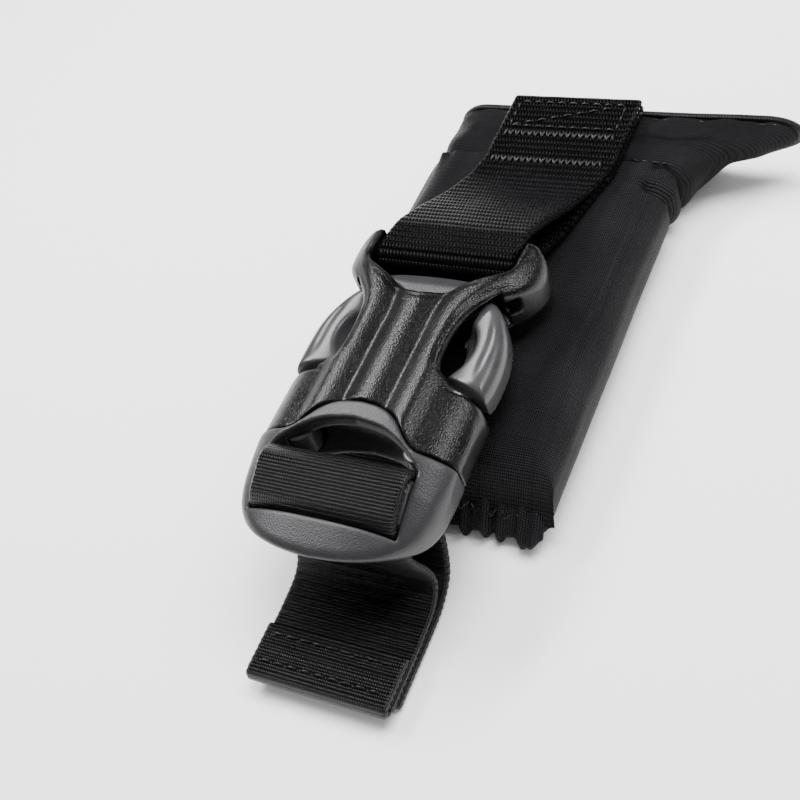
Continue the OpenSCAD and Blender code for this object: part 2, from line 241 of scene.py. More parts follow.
def receiver_field(x, y, z):
    plan = plan_distance(receiver_outline, x, y, z)
    # the crown is fuller over the arms, and dips towards the webbing bar
    fall = crown_drop(x, 3.6) * (1 - 0.35 * step_up(y, -14, -4))
    top = CROWN_Z - FLUTE_MM - fall + flutes(x, y) - 0.8 * step_up(y, -8, 4)
    # a shallow line runs just inside the moulded edge of each window
    rim = np.exp(-((plan + 1.1) / 0.45) ** 2) * step_up(y, -27, -24) * (1 - step_up(y, -9, -4))
    edge = 0.45 + 0.75 * step_up(y, MOUTH_Y + 5, MOUTH_Y + 9)
    solid = both(plan, z - top + 0.14 * rim, edge)
    solid = both(solid, BOTTOM_Z - z + 0.10 * crown_drop(x), 1.6)
    across = np.abs(x)
    # the mouth's roof and floor close in towards its sides
    roof = z - ROOF_Z + 0.92 * np.maximum(across - MOUTH_SLANT, 0)
    base = FLOOR_Z - z + 0.9 * np.maximum(across - 13.9, 0)
    hollow = both(both(across - MOUTH_HALF, roof, 0.6), base, 0.6)
    hollow = both(hollow, y + 23, 0.4)
    between = both(z - ROOF_Z, FLOOR_Z - z, 0.4)
    windows = both(between, both(y + 8.6, -27.6 - y, 0.4), 0.4)
    channel = both(between, both(across - 9.4, -14.5 - y, 0.4), 0.4)
    arm_seats = both(rod(across, y, 9.5, -10.6, 4.4), between, 0.4)
    # slots in the arms that take the tips of the latch arms
    tip_slots = both(np.abs(across - 13.6) - 1.7, np.abs(y + 8.1) - 1.3, 0.5)
    tip_slots = both(tip_slots, np.abs(z - 20.6) - 1.3, 0.5)
    inner = either(either(either(hollow, windows), channel), either(arm_seats, tip_slots))
    solid = both(solid, -inner, 0.5)
    bar = both(rod(y, z, 0, BAR_Z, BAR_R), across - 14, 0.2)
    return either(solid, bar, 0.6)


receiver = moulding("receiver_shell_moulded", receiver_field, (-18.4, -40.2, 14.2), (18.4, 4.6, 26.8))
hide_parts("receiver_shell")
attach(receiver, "receiver")
GRAIN_DEPTH_MM = 0.06


def linear(hex_colour):
    """An sRGB hex colour as the linear values that a shader takes."""
    channels = [int(hex_colour[i:i + 2], 16) / 255 for i in (1, 3, 5)]
    return tuple(c / 12.92 if c <= 0.04045 else ((c + 0.055) / 1.055) ** 2.4 for c in channels) + (1.0,)


def add_node(tree, kind, settings=None, **links):
    """Adds a shader node. Settings and links are named as the node's properties and sockets are."""
    node = tree.nodes.new(kind)
    for key, value in (settings or {}).items():
        if key in node.inputs:
            node.inputs[key].default_value = value
        else:
            setattr(node, key, value)
    for key, source in links.items():
        name = key.replace("_", " ")
        socket = node.inputs[name]
        tree.links.new(source, socket)
    return node


def new_material(name):
    material = bpy.data.materials.new(name)
    material.use_nodes = True
    return material, material.node_tree, material.node_tree.nodes["Principled BSDF"]


def dress(piece, material):
    piece.data.materials.clear()
    piece.data.materials.append(material)


def moulded_acetal(name, dark, light, roughness, grain_mm, grain_strength, specular=0.5):
    """Acetal from a blasted mould: the grain breaks each highlight into fine sparkles."""
    material, tree, surface = new_material(name)
    place = add_node(tree, "ShaderNodeTexCoord").outputs["Object"]
    cloud = add_node(tree, "ShaderNodeTexNoise", {"Scale": 1 / (4 * MM), "Detail": 3.0}, Vector=place)
    colour = add_node(tree, "ShaderNodeValToRGB", None, Fac=cloud.outputs["Fac"])
    colour.color_ramp.elements[0].position, colour.color_ramp.elements[0].color = 0.35, linear(dark)
    colour.color_ramp.elements[1].position, colour.color_ramp.elements[1].color = 0.65, linear(light)
    tree.links.new(colour.outputs["Color"], surface.inputs["Base Color"])
    fine = add_node(tree, "ShaderNodeTexNoise", {"Scale": 1 / (grain_mm * MM), "Detail": 0.0}, Vector=place)
    depth = {"Strength": grain_strength, "Distance": GRAIN_DEPTH_MM * MM}
    bump = add_node(tree, "ShaderNodeBump", depth, Height=fine.outputs["Fac"])
    tree.links.new(bump.outputs["Normal"], surface.inputs["Normal"])
    span = {"To Min": roughness - 0.05, "To Max": roughness + 0.08}
    rough = add_node(tree, "ShaderNodeMapRange", span, Value=cloud.outputs["Fac"])
    tree.links.new(rough.outputs["Result"], surface.inputs["Roughness"])
    surface.inputs["IOR"].default_value = 1.48
    surface.inputs["Specular IOR Level"].default_value = specular
    return material


black_acetal = moulded_acetal("black_acetal_blasted", "#060607", "#09090a", 0.29, 0.22, 1.0, 0.45)
dress(receiver, black_acetal)

# --------------------------------------------------
# Plug frame and grip bar
# The grey half of the buckle, moulded in acetal with a finer, satin texture.
# Its arched back edge stands up behind the slots, and the wide front lip is
# the lever that lets the strap run when it is lifted.
# --------------------------------------------------
LIP_Y = -58.6
SLOT_HALF = 12.8
GRIP_FRONT = (-49.0, CROWN_Z - 5.4)
GRIP_BACK = (-45.4, CROWN_Z - 3.9)
GRIP_R = 2.0
FIT = 0.3
STEM_LENGTH = 5.6
ROOT_X, ROOT_Y = 11, -37.5

LIP_CURVE = [
    (0, LIP_Y), (5, LIP_Y + 0.5), (9.5, LIP_Y + 1.8), (13, LIP_Y + 4),
    (15.6, LIP_Y + 7), (17, LIP_Y + 11), (HALF_WIDTH, LIP_Y + 15),
]
plug_half = (
    smooth_curve(LIP_CURVE, 5) + [(HALF_WIDTH, MOUTH_Y - FIT)]
    + [(x, y - FIT) for x, y in reversed(smooth_curve(SEAM, 4))]
)
plug_outline = both_sides(plug_half)
slot_outline = both_sides(
    [(0, -52.6), (SLOT_HALF, -52.6), (SLOT_HALF, -42.4)]
    + smooth_curve([(12.2, -41.5), (9.4, -39.3), (5.2, -37.2), (0, -36.4)], 4)
)
# height of the plug's top along its middle
PROFILE_Y = [LIP_Y - 1, LIP_Y, -56.5, -52.5, -49, -46, -42.5, MOUTH_Y - 1.5, ARCH_Y]
PROFILE_Z = [20.4, 21.3, 22.0, 23.2, 24.3, 25.1, 25.7, 26.0, 26.1]


def plug_field(x, y, z):
    plan = plan_distance(plug_outline, x, y, z)
    slot = plan_distance(slot_outline, x, y, z)
    across = np.abs(x)
    top = np.interp(y, PROFILE_Y, PROFILE_Z) - 0.25 - crown_drop(x)
    under = BOTTOM_Z + 0.4 + 4.4 * step_up(-y, 47, -LIP_Y) ** 1.5
    body = both(plan, z - top, 0.4 + 1.3 * step_up(-y, -MOUTH_Y + 1, -MOUTH_Y + 7))
    body = both(body, under - z, 1.4)
    # the base plugs the receiver's mouth, and the stem carries the tongue
    roof = z - ROOF_Z + FIT + 0.92 * np.maximum(across - MOUTH_SLANT, 0)
    floor_side = FLOOR_Z + FIT - z + 0.9 * np.maximum(across - MOUTH_HALF + 1.7, 0)
    base = both(both(across - MOUTH_HALF + FIT, roof, 0.4), floor_side, 0.4)
    base = both(base, both(y - MOUTH_Y - 1.6, MOUTH_Y - 2 - y, 0.3), 0.3)
    stem = both(across - 7.6, both(z - ROOF_Z + FIT, FLOOR_Z + FIT - z, 0.3), 0.3)
    stem = both(stem, both(y - MOUTH_Y - STEM_LENGTH, MOUTH_Y - 1 - y, 0.3), 0.3)
    body = either(body, either(base, stem), 0.3)
    body = both(body, -slot, 0.8)
    # the moulding is cored out under its arch
    core = np.sqrt((x / 9.6) ** 2 + ((y + 38.4) / 3.6) ** 2 + ((z - 20.0) / 3.7) ** 2) - 1
    body = both(body, -3.5 * core, 0.6)
    seats = both(rod(across, y, ROOT_X, ROOT_Y, 3.1), both(17.5 - z, z - 22.7, 0.1), 0.1)
    return both(body, -seats, 0.1)


plug = moulding("plug_frame_moulded", plug_field, (-18.4, -59.8, 14.2), (18.4, -32.2, 26.9))
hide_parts("plug_frame")
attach(plug, "plug")
satin_acetal = moulded_acetal("grey_acetal_satin", "#252527", "#29292b", 0.4, 0.22, 0.7)
dress(plug, satin_acetal)


def grip_field(x, y, z):
    ay, az = GRIP_FRONT
    by, bz = GRIP_BACK
    run_y, run_z = by - ay, bz - az
    t = np.clip(((y - ay) * run_y + (z - az) * run_z) / (run_y**2 + run_z**2), 0, 1)
    bar = np.hypot(y - ay - t * run_y, z - az - t * run_z) - GRIP_R
    # shallow teeth across the bar keep the strap from creeping
    teeth = 0.12 * np.cos(np.arctan2(z - (az + bz) / 2, y - (ay + by) / 2) * 18)
    return both(bar + 0.12 + teeth, np.abs(x) - SLOT_HALF, 0.2)


grip = moulding("grip_bar_moulded", grip_field, (-13.6, -52.2, 17.6), (13.6, -42.2, 25.2), 0.3)
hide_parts("grip_bar")
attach(grip, "plug")
dress(grip, satin_acetal)

# --------------------------------------------------
# Guide tongue
# The middle finger of the plug moulding. It centres the plug in the receiver,
# and its spread tip shows in the receiver's notch.
# --------------------------------------------------
SPREAD_TIP = [
    (4.3, -22), (4.3, -10.5), (5.6, -8.3), (8.3, -7.0),
    (8.8, -5.9), (7.4, -4.9), (3.5, -4.5), (0, -4.4),
]
tongue_outline = both_sides(
    [(0, MOUTH_Y + STEM_LENGTH), (4.6, MOUTH_Y + STEM_LENGTH)] + smooth_curve(SPREAD_TIP, 4)
)


def tongue_field(x, y, z):
    plan = plan_distance(tongue_outline, x, y, z)
    top = ROOF_Z - 0.8 - 0.9 * step_up(y, -7.5, -4.2) + 0 * x
    return both(both(plan, z - top, 0.9), FLOOR_Z + 1.6 - z, 0.8)


tongue = moulding("guide_tongue_moulded", tongue_field, (-9.6, -34.4, 18.0), (9.6, -3.6, 23.8))
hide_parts("guide_tongue")
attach(tongue, "plug")
dress(tongue, satin_acetal)

# --------------------------------------------------
# Latch arms
# Two springy fingers of the plug moulding. Each ends in a polished button
# that fills a window of the receiver; its slanted front face is the catch.
# --------------------------------------------------
ARM_Z = 17.7
ARM_TOP = 22.4
BUTTON_EDGE = [
    (17.0, -27.0), (17.45, -24.5), (17.4, -20), (16.6, -15.8),
    (14.8, -12), (12.8, -9.4), (11.2, -8.7), (10, -9.6),
]
INNER_EDGE = [(9.6, -12), (9.3, -16), (9.3, -22), (9.4, -27)]
arm_outline = [(9.4, -38.5), (12.6, -38.5), (12.6, -27), (13.1, -26.5), (14.8, -26.5)]
arm_outline += [tuple(q) for q in smooth_curve(BUTTON_EDGE, 5) + smooth_curve(INNER_EDGE, 3)]


def arm_field(x, y, z):
    plan = plan_distance(arm_outline, x, y, z)
    # the button's front edge runs beside the window's, and the neck passes under it
    button = step_up(y + 24.5 + 0.36 * (x - 9.6), -0.3, 0.5)
    crest = 14.4 - 0.03 * np.maximum(y + 19, 0) ** 2
    dish = np.where(x < crest, 0.03 * (crest - x) ** 2, 0.13 * (x - crest) ** 2)
    stretch = step_up(y, -25, -21) * (1 - step_up(y, -15, -11))
    groove = 0.14 * np.exp(-((x - crest - 0.2) / 0.5) ** 2) * stretch
    top = ARM_TOP - 1.4 + button * (2.2 - dish - groove)
    low = ARM_Z - button * 0.5
    arm = both(both(plan, z - top, 0.6 + 1.2 * button), low - z, 1.0)
    # a fingertip scoop on the inner side
    scoop = np.sqrt(((x - 8.6) / 3.7) ** 2 + ((y + 18.8) / 5.4) ** 2 + ((z - 23.6) / 4.6) ** 2) - 1
    arm = both(arm, -4 * scoop, 0.7)
    root = both(rod(x, y, ROOT_X, ROOT_Y, 3.0), both(ARM_Z - z, z - ARM_TOP, 0.3), 0.3)
    return either(arm, root, 0.8)


polished_acetal = moulded_acetal("grey_acetal_polished", "#303032", "#363637", 0.27, 0.5, 0.05, 0.5)
for side in ("right", "left"):
    arm = moulding(f"latch_arm_{side}_moulded", arm_field, (6.8, -41.6, 16.4), (18.6, -7.8, 24.2))
    if side == "left":
        arm.data.transform(Matrix.Scale(-1, 4, (1, 0, 0)))
        arm.data.flip_normals()
    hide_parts(f"latch_arm_{side}")
    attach(arm, f"latch_{side}")
    dress(arm, polished_acetal)

# --------------------------------------------------
# Anchor webbing
# 25 mm nylon webbing with bold cross ribs. It comes off the belt, goes round
# the receiver's bar and back, and both layers are sewn down to the cover.
# --------------------------------------------------
WEB_W = 25.0
WEB_T = 1.4
RIB_MM = 1.4
PAD_H = 13.2
WING_BACK = 48.0


def round_arc(centre, radius, start, end, count):
    angles = np.radians(np.linspace(start, end, count + 1))
    return [np.array([centre[0] + radius * math.cos(a), centre[1] + radius * math.sin(a)]) for a in angles]


def skin(name, rings, across, along):
    """A closed skin over rings of points in millimetres, with the cloth's own measure in across and along."""
    rings = np.asarray(rings, float)
    count, around = rings.shape[:2]
    index = np.arange(count * around).reshape(count, around)
    a, d = index[:-1], index[1:]
    quads = np.stack([a, np.roll(a, -1, 1), np.roll(d, -1, 1), d], -1).reshape(-1, 4)
    faces = quads.tolist() + [index[0][::-1].tolist(), index[-1].tolist()]
    u = np.broadcast_to(np.asarray(across, float), (count, around + 1))
    v = np.broadcast_to(np.asarray(along, float)[:, None], (count, around + 1))
    grid = np.stack([u, v], -1)
    sides = np.stack([grid[:-1, :-1], grid[:-1, 1:], grid[1:, 1:], grid[1:, :-1]], 2).reshape(-1, 2)
    measure = np.concatenate([sides, grid[0, :-1][::-1], grid[-1, :-1]])
    mesh = bpy.data.meshes.new(name)
    mesh.from_pydata((rings.reshape(-1, 3) * MM).tolist(), [], faces)
    mesh.uv_layers.new(name="measure").data.foreach_set("uv", measure.astype(np.float32).ravel())
    if volume(mesh) < 0:
        mesh.flip_normals()
    mesh.shade_smooth()
    piece = bpy.data.objects.new(name, mesh)
    bpy.context.scene.collection.objects.link(piece)
    return piece


def volume(mesh):
    """The volume inside a closed mesh, which is negative when its faces point inwards."""
    mesh.calc_loop_triangles()
    points = np.array([v.co for v in mesh.vertices])
    corners = np.array([t.vertices[:] for t in mesh.loop_triangles])
    a, b, c = (points[corners[:, i]] for i in range(3))
    return float((a * np.cross(b, c)).sum() / 6)


def webbing(name, path, shift, relief, width=WEB_W):
    """Ribbed webbing along path, the [y, z] of its middle.

    shift(y, z) moves each point across the belt, and relief(y, z) is the ribs' height.
    """
    path = np.array(path, float)
    run = np.concatenate([[0], np.cumsum(np.hypot(*np.diff(path, axis=0).T))])
    s = np.arange(0, run[-1], RIB_MM / 6)
    y, z = np.interp(s, run, path[:, 0]), np.interp(s, run, path[:, 1])
    for _ in range(3):
        y[1:-1], z[1:-1] = (y[:-2] + 2 * y[1:-1] + y[2:]) / 4, (z[:-2] + 2 * z[1:-1] + z[2:]) / 4
    ty, tz = np.gradient(y), np.gradient(z)
    length = np.hypot(ty, tz)
    ny, nz = -tz / length, ty / length
    r, flat = WEB_T / 2, width / 2 - WEB_T / 2
    face = np.linspace(-flat, flat, 30)
    turn = np.radians(np.linspace(90, -90, 9)[1:-1])
    u = np.concatenate([face, flat + r * np.cos(turn), face[::-1], -flat - r * np.cos(turn)])
    n = np.concatenate([0 * face + r, r * np.sin(turn), 0 * face - r, -r * np.sin(turn)])
    out_u = np.concatenate([0 * face, np.cos(turn), 0 * face, -np.cos(turn)])
    out_n = np.concatenate([0 * face + 1, np.sin(turn), 0 * face - 1, -np.sin(turn)])
    edge = np.abs(out_u)
    S, U = s[:, None], u[None, :]
    rib = np.abs(np.sin(np.pi * S / RIB_MM + 0.12 * np.sin(U * 0.45))) ** 0.55 - 0.6
    # the woven edge is a chain of small loops
    chain = np.abs(np.sin(np.pi * S / 1.1 + 1.1 * n[None, :] / r * np.sign(U))) - 0.55
    height = np.array([relief(p, q) for p, q in zip(y, z)])[:, None]
    lift = height * rib * (1 - edge) + 0.17 * chain * edge
    x = np.array([shift(p, q) for p, q in zip(y, z)])[:, None] + u + lift * out_u
    off = n + lift * out_n
    rings = np.stack([x, y[:, None] + off * ny[:, None], z[:, None] + off * nz[:, None]], -1)
    step = np.concatenate([[0], np.hypot(np.diff(u), np.diff(n)), [WEB_T / 2]])
    return skin(name, rings, np.cumsum(step)[: len(u) + 1], s)


LOOP_R = BAR_R + 0.1 + WEB_T / 2
TOP_Z = PAD_H + 0.15 + 1.5 * WEB_T
LOW_Z = PAD_H + 0.05 + WEB_T / 2
WEB_END = WING_BACK - 1.2


def sway(y, z=0):
    """The webbing leaves the bar square and is sewn down a little to the right of it."""
    return 5.5 * min(max((y - 3) / 27, 0), 1) ** 1.4


low_run = [
    [WEB_END, LOW_Z], [34, LOW_Z], [26, LOW_Z], [19, LOW_Z + 0.05], [13, LOW_Z + 0.6],
    [6, BAR_Z - LOOP_R - 1.2],
]
top_run = [
    [6, BAR_Z + LOOP_R - 0.9], [12, BAR_Z + LOOP_R - 3.4], [18, TOP_Z + 2], [24, TOP_Z + 0.3],
    [28, TOP_Z], [33, TOP_Z], [WEB_END, TOP_Z],
]
round_bar = round_arc((0, BAR_Z), LOOP_R, 270, 90, 24)[1:-1]
anchor_path = smooth_curve(low_run, 8) + round_bar + smooth_curve(top_run, 8)
anchor = webbing("anchor_webbing_ribbed", anchor_path, sway, lambda y, z: 0.16)
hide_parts("anchor_webbing")
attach(anchor, "belt_end")


def calc(tree, operation, first, second=None):
    """A Math node. Each input is a socket or a number."""
    node = add_node(tree, "ShaderNodeMath", {"operation": operation})
    for socket, value in zip(node.inputs, (first, second)):
        if isinstance(value, bpy.types.NodeSocket):
            tree.links.new(value, socket)
        elif value is not None:
            socket.default_value = value
    return node.outputs[0]


def ridge(tree, value, sharpness):
    """Rounded ridges, one for each unit of value."""
    wave = calc(tree, "SINE", calc(tree, "MULTIPLY", value, math.pi))
    return calc(tree, "POWER", calc(tree, "ABSOLUTE", wave), sharpness)


def cloth_measure(tree):
    """The cloth's own measure in millimetres, across it and along it."""
    place = add_node(tree, "ShaderNodeUVMap", {"uv_map": "measure"})
    apart = add_node(tree, "ShaderNodeSeparateXYZ", None, Vector=place.outputs["UV"])
    return apart.outputs["X"], apart.outputs["Y"]


def nylon_webbing(name, dark, light, rib_mm, strand_mm, slant, depth_mm, roughness, specular):
    """Webbing: slanted bundles of shiny yarn side by side in each rib. Its colour is painted shade: dark in
    the grooves between the ribs and strands, lighter on their tops, with a random tone.
    """
    material, tree, surface = new_material(name)
    u, v = cloth_measure(tree)
    along = calc(tree, "FRACT", calc(tree, "DIVIDE", v, rib_mm))
    across = calc(tree, "ADD", calc(tree, "DIVIDE", u, strand_mm), calc(tree, "MULTIPLY", along, slant))
    strand = ridge(tree, across, 0.6)
    row = ridge(tree, calc(tree, "DIVIDE", v, rib_mm), 0.45)
    height = calc(tree, "MULTIPLY", strand, row)
    object_place = add_node(tree, "ShaderNodeTexCoord").outputs["Object"]
    wear = add_node(tree, "ShaderNodeTexNoise", {"Scale": 1 / (2.5 * MM), "Detail": 3.0}, Vector=object_place)
    # painted shade: the colour follows the weave's height, dark in the grooves and light on the yarn tops,
    # times the random wear noise
    groove_shade_and_tone = calc(tree, "MULTIPLY", height, calc(tree, "ADD", wear.outputs["Fac"], 0.5))
    colour = add_node(tree, "ShaderNodeValToRGB", None, Fac=groove_shade_and_tone)
    colour.color_ramp.elements[0].position, colour.color_ramp.elements[0].color = 0.2, linear(dark)
    colour.color_ramp.elements[1].position, colour.color_ramp.elements[1].color = 0.95, linear(light)
    tree.links.new(colour.outputs["Color"], surface.inputs["Base Color"])
    bump = add_node(tree, "ShaderNodeBump", {"Strength": 1.0, "Distance": depth_mm * MM}, Height=height)
    tree.links.new(bump.outputs["Normal"], surface.inputs["Normal"])
    surface.inputs["Roughness"].default_value = roughness
    surface.inputs["IOR"].default_value = 1.53
    surface.inputs["Specular IOR Level"].default_value = specular
    return material


ribbed_nylon = nylon_webbing("black_nylon_ribbed", "#020202", "#0a0a0b", RIB_MM, 0.64, 0.5, 0.28, 0.3, 0.08)
dress(anchor, ribbed_nylon)

# --------------------------------------------------
# Adjuster strap
# The same webbing, threaded up through the back slot, over the grip bar and
# down through the front slot. Both legs lie forward on the surface.
# --------------------------------------------------
STRAP_REACH = 71.0
WRAP_R = GRIP_R + 0.1 + WEB_T / 2


def drift(y, z):
    """Both legs move to the right as they drop to the surface."""
    return 1.8 * max(0, 1 - z / 14)


load_leg = [
    [-STRAP_REACH + 1.5, 0.85], [-64, 0.85], [-58, 0.85], [-52.5, 1.2],
    [-47.6, 3], [-44.8, 7], [-43.4, 11], [-42.7, 15.5],
]
free_leg = [
    [-52, 17], [-51.6, 12.6], [-50.4, 8.4], [-50.6, 5.2],
    [-53.6, 3.1], [-58.6, 2.5], [-64, 2.4], [-STRAP_REACH, 2.4],
]
wrap = round_arc(GRIP_BACK, WRAP_R, 0, 112, 16) + round_arc(GRIP_FRONT, WRAP_R, 112, 180, 10)
strap_path = smooth_curve(load_leg, 8) + wrap + smooth_curve(free_leg, 8)


def strap_relief(y, z):
    """The ribs flatten where the strap is drawn tight over the grip bar."""
    return 0.03 if z > 17 else 0.13


strap = webbing("adjuster_strap_ribbed", strap_path, drift, strap_relief, WEB_W + 0.4)
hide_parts("adjuster_strap")
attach(strap, "plug")
dense_nylon = nylon_webbing("black_nylon_dense", "#040404", "#161617", 0.54, 0.43, 0.4, 0.16, 0.24, 0.28)
dress(strap, dense_nylon)

# The strap's free end is folded back over itself once, so that it can't slip
# out of the buckle, and two rows of lockstitch hold the fold.
FOLD_Z = 2.4 + WEB_T / 2
turn_back = round_arc((-STRAP_REACH - 0.1, FOLD_Z + 0.02), WEB_T / 2, 270, 90, 10)
flap = [[-STRAP_REACH + k, FOLD_Z + WEB_T / 2 + 0.04] for k in (0.5, 2, 4, 6, 8)]
fold_path = [[-STRAP_REACH, 2.3]] + turn_back + flap
fold = webbing("strap_end_fold_ribbed", fold_path, lambda y, z: drift(y, 2.4), lambda y, z: 0.11)
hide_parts("strap_end_fold")
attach(fold, "plug")
dress(fold, dense_nylon)


def stitches(name, points, lift_mm, thread_mm, gap=0.12):
    """A stitch from each point to the next, an arch of thread that dips into the cloth at its ends."""
    rings, faces = [], []
    for a, b in zip(points, points[1:]):
        a, b = np.array(a, float), np.array(b, float)
        run = b - a
        level = np.array([run[0], run[1], 0]) / max(np.hypot(run[0], run[1]), 1e-9)
        side = np.array([-level[1], level[0], 0])
        first = len(rings)
        for k in range(7):
            t = k / 6
            bow = math.sin(math.pi * t)
            centre = a + run * (gap + (1 - 2 * gap) * t) + np.array([0, 0, lift_mm * (bow - 0.35)])
            radius = thread_mm / 2 * (0.55 + 0.45 * bow ** 0.5)
            for q in range(8):
                angle = 2 * math.pi * q / 8
                spoke = math.cos(angle) * side + math.sin(angle) * np.array([0, 0, 1])
                rings.append(centre + radius * spoke)
        for k in range(6):
            for q in range(8):
                c, d = first + 8 * k + q, first + 8 * k + (q + 1) % 8
                faces.append((c, d, d + 8, c + 8))
        faces.append([first + q for q in range(7, -1, -1)])
        faces.append([first + 48 + q for q in range(8)])
    mesh = bpy.data.meshes.new(name)
    mesh.from_pydata((np.array(rings) * MM).tolist(), [], faces)
    if volume(mesh) < 0:
        mesh.flip_normals()
    mesh.shade_smooth()
    piece = bpy.data.objects.new(name, mesh)
    bpy.context.scene.collection.objects.link(piece)
    return piece


def bonded_thread():
    """Bonded nylon thread: a twisted yarn, a little lighter and shinier than the cloth. Its colour follows
    the twist, darker in the grooves between the plies as painted shade.
    """
    material, tree, surface = new_material("black_bonded_thread")
    place = add_node(tree, "ShaderNodeTexCoord").outputs["Object"]
    twist = add_node(tree, "ShaderNodeTexWave", {"Scale": 1 / (1.6 * MM), "Distortion": 1.5}, Vector=place)
    depth = {"Strength": 0.6, "Distance": 0.05 * MM}
    bump = add_node(tree, "ShaderNodeBump", depth, Height=twist.outputs["Fac"])
    tree.links.new(bump.outputs["Normal"], surface.inputs["Normal"])
    # painted shade: the same twist pattern as the bump, dark where the thread's surface dips and light on its
    # ridges
    colour = add_node(tree, "ShaderNodeValToRGB", None, Fac=twist.outputs["Fac"])
    colour.color_ramp.elements[0].color = linear("#060606")
    colour.color_ramp.elements[1].color = linear("#161617")
    tree.links.new(colour.outputs["Color"], surface.inputs["Base Color"])
    surface.inputs["Roughness"].default_value = 0.42
    surface.inputs["IOR"].default_value = 1.53
    return material


thread = bonded_thread()


def row(a, b, pitch):
    """Stitch ends from a to b, about a pitch apart."""
    a, b = np.array(a, float), np.array(b, float)
    count = max(2, round(np.linalg.norm(b - a) / pitch))
    return [a + (b - a) * k / count for k in range(count + 1)]


fold_left = 1.5 - WEB_W / 2
fold_top = FOLD_Z + WEB_T + 0.1
for number, y in enumerate((-STRAP_REACH + 1.6, -STRAP_REACH + 6.2)):
    start, end = (fold_left + 1.6, y, fold_top), (fold_left + WEB_W - 1.6, y, fold_top)
    line = stitches(f"strap_fold_stitch_{number}", row(start, end, 2.4), 0.3, 0.45)
    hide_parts("strap_fold_stitch")
    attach(line, "plug")
    dress(line, thread)

# --------------------------------------------------
# Anchor stitching
# Two bartacks, each a dense zigzag right across the webbing, and a flat box
# of lockstitch behind them. They carry the whole pull of the buckle.
# --------------------------------------------------
TACK_STITCHES = 34
tack_top = TOP_Z + WEB_T / 2 + 0.06
for number, y in enumerate((29.6, 36.4)):
    middle = sway(y)
    points = []
    for k in range(TACK_STITCHES + 1):
        wave = 0.95 if k % 2 else -0.95
        points.append((middle - 10.6 + 21.2 * k / TACK_STITCHES, y + wave, tack_top))
    tack = stitches(f"anchor_bartack_{number}", points, 0.34, 0.55, 0.02)
    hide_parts("anchor_bartack")
    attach(tack, "belt_end")
    dress(tack, thread)

box_left, box_right, box_front, box_back = sway(36) - 10.3, sway(36) + 10.3, 38.2, 44.6
# round the box once, then across its diagonal
corners = [
    (box_left, box_front), (box_right, box_front), (box_right, box_back),
    (box_left, box_back), (box_left, box_front), (box_right, box_back),
]
box_points = []
for (ax, ay), (bx, by) in zip(corners, corners[1:]):
    box_points += row((ax, ay, tack_top), (bx, by, tack_top), 2.3)[:-1]
box_stitch = stitches("anchor_box_stitch_line", box_points, 0.3, 0.45)
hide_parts("anchor_box_stitch")
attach(box_stitch, "belt_end")
dress(box_stitch, thread)

# --------------------------------------------------
# Padded sleeve
# Foam in a tube of ripstop nylon. The cloth was sewn flat and pulled over the
# foam, so it is drawn smooth along the sleeve and puckers at its sewn ends.
# --------------------------------------------------
PAD_LEFT, PAD_RIGHT = -21.0, 27.5
SLEEVE_FRONT, SLEEVE_BACK = -36.4, 34.0
chance = np.random.default_rng(7)
ripples = [
    (chance.uniform(0.15, 0.8), chance.uniform(0.06, 0.35), chance.uniform(0, 6.28), chance.choice((-1, 1)))
    for _ in range(9)
]


def slack(a, b):
    """Soft unevenness of cloth over foam, between about -1 and 1."""
    total = 0
    for fa, fb, phase, sign in ripples:
        total = total + np.sin(fa * a + sign * fb * b + phase)
    return total / 4


def stadium(left, right, height, count):
    """Points round a flat shape with half-round ends, from its lower left upwards.

    With them come each point's outward direction and the distance run so far.
    """
    r = height / 2
    straight = right - left - height
    total = 2 * straight + 2 * math.pi * r
    points, out, run = [], [], []
    for k in range(count):
        s = total * k / count
        run.append(s)
        if s < math.pi * r:
            a = -math.pi / 2 - s / r
            points.append((left + r + r * math.cos(a), r + r * math.sin(a)))
            out.append((math.cos(a), math.sin(a)))
        elif s < math.pi * r + straight:
            points.append((left + r + s - math.pi * r, height))
            out.append((0, 1))
        elif s < 2 * math.pi * r + straight:
            a = math.pi / 2 - (s - math.pi * r - straight) / r
            points.append((right - r + r * math.cos(a), r + r * math.sin(a)))
            out.append((math.cos(a), math.sin(a)))
        else:
            points.append((right - r - (s - 2 * math.pi * r - straight), 0))
            out.append((0, -1))
    return np.array(points), np.array(out), np.array(run + [total])


SLEEVE_Y = [SLEEVE_FRONT, -35.6, -34, -31.4, -28.2, -24, -18, 34]
SLEEVE_TOP = [4.0, 5.6, 8.2, 10.8, 12.3, 13.0, 13.2, 13.2]
# rings lie closer together near the sewn ends
front_y, back_y = np.arange(SLEEVE_FRONT, -24, 0.5), np.arange(24, SLEEVE_BACK + 0.3, 0.4)
ring_y = np.concatenate([front_y, np.arange(-24, 24, 1.0), back_y])
section, outward, girth = stadium(PAD_LEFT, PAD_RIGHT, PAD_H, 168)
COVER_MM = 1.2


def panel_gap(x):
    """How far the cover's underside stays off the surface, to leave room for the lining panel."""
    inside = step_up(x, PAD_LEFT + 4, PAD_LEFT + 5.5) * step_up(-x, 4 - PAD_RIGHT, 5.5 - PAD_RIGHT)
    return 0.02 + 0.45 * inside


def mound(value, middle, width):
    """A smooth hump of height 1 around middle."""
    return np.exp(-((value - middle) / width) ** 2)


def core_ring(x, y, z, out):
    """The foam's own ring, a cover's thickness inside the cover's."""
    inside = np.maximum(z - COVER_MM * out[:, 1], COVER_MM)
    return np.stack([x - COVER_MM * out[:, 0], 0 * x + y, inside], -1)


